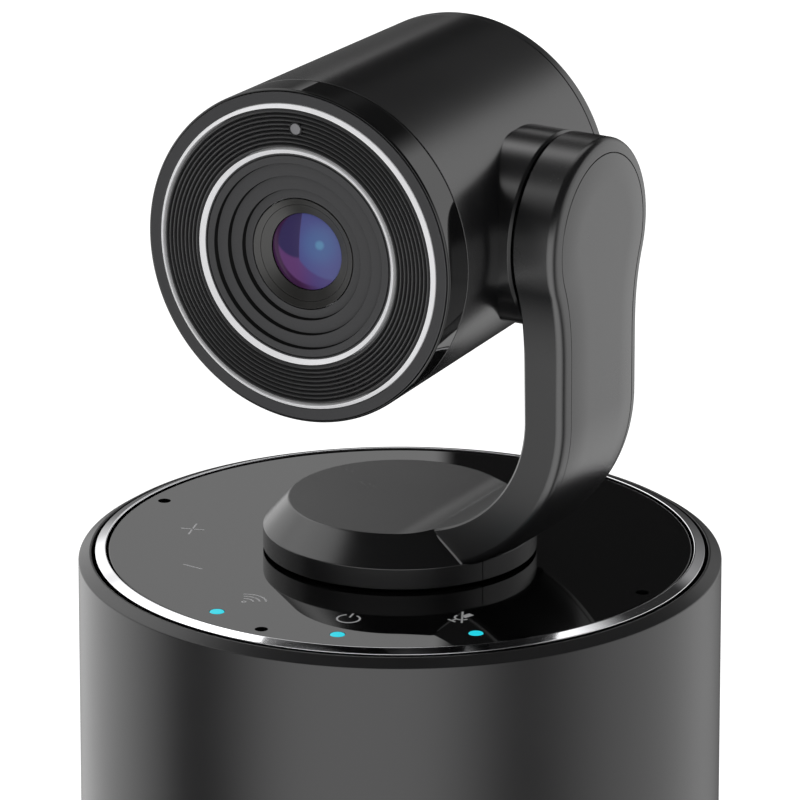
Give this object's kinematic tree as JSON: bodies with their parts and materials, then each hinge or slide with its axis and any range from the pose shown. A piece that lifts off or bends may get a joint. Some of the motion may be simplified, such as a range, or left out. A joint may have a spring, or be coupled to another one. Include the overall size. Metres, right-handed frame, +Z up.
{
  "type": "conference speakerphone",
  "caption": "Cylindrical conference speakerphone with a round touch panel and a motorised camera that pans on a turntable and tilts on a single side arm.",
  "frame": {"origin": "centre of the underside of the base, on the table", "axes": "+Z up along the pan axis; the camera looks along -Y at rest; the arm is on the +X side"},
  "size_m": [0.12, 0.12, 0.2485],
  "materials": {
    "rubber": "matt",
    "moulded": "fine matt",
    "steel": "satin",
    "alloy": "satin",
    "brass": "turned",
    "paper": "pressed fibre",
    "board": "solder mask",
    "satin_base": "satin dark grey",
    "satin_head": "satin black",
    "satin_arm": "satin dark grey",
    "bright_trim": "polished",
    "gloss": "piano black",
    "acetal": "natural",
    "cable": "flexible film",
    "cyan_light": "lit light pipe",
    "grey_light": "unlit light pipe",
    "lens_glass": "coated"
  },
  "bodies": {
    "base": {"rubber_foot": "rubber", "base_plate": "moulded", "base_screw_1": "steel", "base_screw_2": "steel", "base_screw_3": "steel", "sound_deflector": "moulded", "speaker_grille": "satin_base", "speaker_baffle": "moulded", "speaker_basket": "steel", "speaker_magnet": "alloy", "speaker_surround": "rubber", "speaker_chamber": "moulded", "port_block": "moulded", "usb_c_port": "steel", "dc_jack": "moulded", "audio_jack": "brass", "main_board": "board", "housing": "satin_base", "top_frame": "moulded", "pan_bearing_outer": "steel", "pan_motor": "alloy", "pan_motor_bracket": "steel", "touch_board": "board", "trim_ring": "bright_trim", "top_panel": "gloss", "light_pipe_mute": "cyan_light", "light_pipe_power": "cyan_light", "light_pipe_wireless": "cyan_light"},
    "speaker_cone": {"speaker_cone": "paper"},
    "pan_pinion": {"pan_pinion": "brass"},
    "turntable": {"turntable_cap": "satin_arm", "pan_spindle": "alloy", "pan_bearing_inner": "steel", "pan_gear": "acetal", "cap_screw": "steel", "arm_screw_1": "steel", "arm_screw_2": "steel", "arm_frame": "satin_arm", "arm_cover": "satin_arm", "tilt_bearing": "steel", "tilt_motor": "alloy", "arm_cable": "cable"},
    "head": {"head_barrel": "satin_head", "rear_cap": "satin_head", "front_bezel": "gloss", "outer_trim_ring": "bright_trim", "ribbed_ring": "moulded", "inner_trim_ring": "bright_trim", "lens_funnel": "moulded", "lens_ring": "gloss", "lens_mount": "alloy", "status_light": "grey_light", "tilt_hub": "satin_head", "tilt_shaft": "steel", "sensor_board": "board", "processor_board": "board", "heat_sink": "alloy"},
    "focus_group": {"lens_carrier": "moulded", "front_lens": "lens_glass", "rear_lens": "lens_glass"}
  },
  "joints": [
    {"name": "pan", "type": "hinge", "parent": "base", "child": "turntable", "pos_m": [0, 0, 0.15], "axis": [0, 0, 1], "range_deg": [-170, 170]},
    {"name": "pinion_spin", "type": "hinge", "parent": "base", "child": "pan_pinion", "pos_m": [0, 0.0375, 0.1245], "axis": [0, 0, 1], "range_deg": [-690, 690]},
    {"name": "tilt", "type": "hinge", "parent": "turntable", "child": "head", "pos_m": [0, 0, 0.21707], "axis": [-1, 0, 0], "range_deg": [-30, 90]},
    {"name": "focus", "type": "slide", "parent": "head", "child": "focus_group", "axis": [0, -1, 0], "range_m": [0, 0.0012]},
    {"name": "cone_travel", "type": "slide", "parent": "base", "child": "speaker_cone", "axis": [0, 0, 1], "range_m": [-0.0015, 0.0015], "stiffness_N_per_m": 800}
  ],
  "couplings": [
    {"joint": "pinion_spin", "follows": "pan", "ratio": -4}
  ]
}
